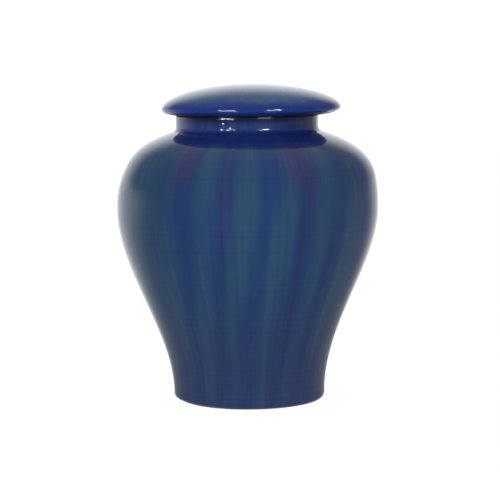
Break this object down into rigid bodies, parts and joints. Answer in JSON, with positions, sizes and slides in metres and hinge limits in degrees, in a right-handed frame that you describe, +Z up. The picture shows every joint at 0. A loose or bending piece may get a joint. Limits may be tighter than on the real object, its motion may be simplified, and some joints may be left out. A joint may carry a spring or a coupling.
{
  "type": "funeral urn",
  "caption": "Glazed ceramic funeral urn: baluster jar with a narrow foot, wide shoulder, short neck and a loose domed lid that overhangs it.",
  "frame": {"origin": "middle of the foot ring, on the surface that the urn stands on", "axes": "+Z up along the urn's own axis; the lid lies 3.4 mm off that axis towards +X; -Y is the side that the picture shows"},
  "size_m": [0.2084, 0.2084, 0.2517],
  "materials": {
    "glaze_body": "glossy cobalt glaze with soft teal and violet streaks, bare clay foot ring",
    "glaze_lid": "glossy cobalt glaze, deeper blue at the edge"
  },
  "bodies": {
    "root": {"urn_body": "glaze_body", "lid": "glaze_lid"}
  },
  "joints": []
}
